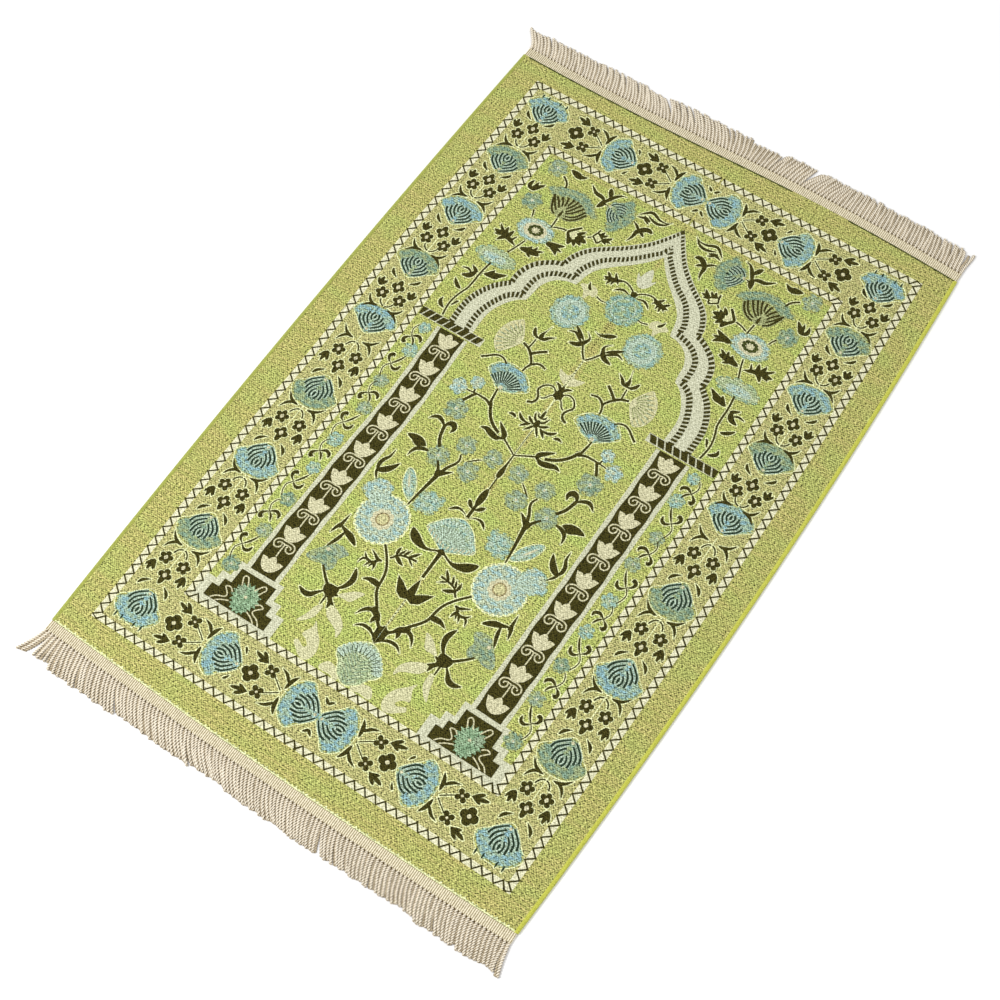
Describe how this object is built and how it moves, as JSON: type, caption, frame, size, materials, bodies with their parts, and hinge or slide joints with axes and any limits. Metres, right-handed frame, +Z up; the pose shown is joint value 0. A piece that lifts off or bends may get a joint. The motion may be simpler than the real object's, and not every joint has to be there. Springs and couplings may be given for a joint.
{
  "type": "prayer rug",
  "caption": "Flat woven prayer rug with a niche pattern, overlocked long sides and a fringe of twisted cords on a ribbed heading along each short end.",
  "frame": {"origin": "on the floor under the middle of the rug's whole plan, fringes and all", "axes": "+Y along the rug's length, the way its woven niche points; +X to the right across its width; +Z up from the floor, out of the face"},
  "size_m": [0.7341, 1.1692, 0.0037],
  "materials": {
    "chenille_cloth": "lime green chenille weave, matt, with a soft nap",
    "fringe_yarn": "undyed cotton yarn, matt, twisted",
    "dark_yarn": "dark olive brown yarn in the weave, matt",
    "cream_yarn": "cream yarn in the weave, matt",
    "blue_yarn": "sky blue yarn in the weave, matt",
    "teal_yarn": "grey teal yarn in the weave, matt"
  },
  "bodies": {
    "root": {"rug_cloth": "chenille_cloth", "fringe_near": "fringe_yarn", "fringe_far": "fringe_yarn"}
  },
  "joints": []
}
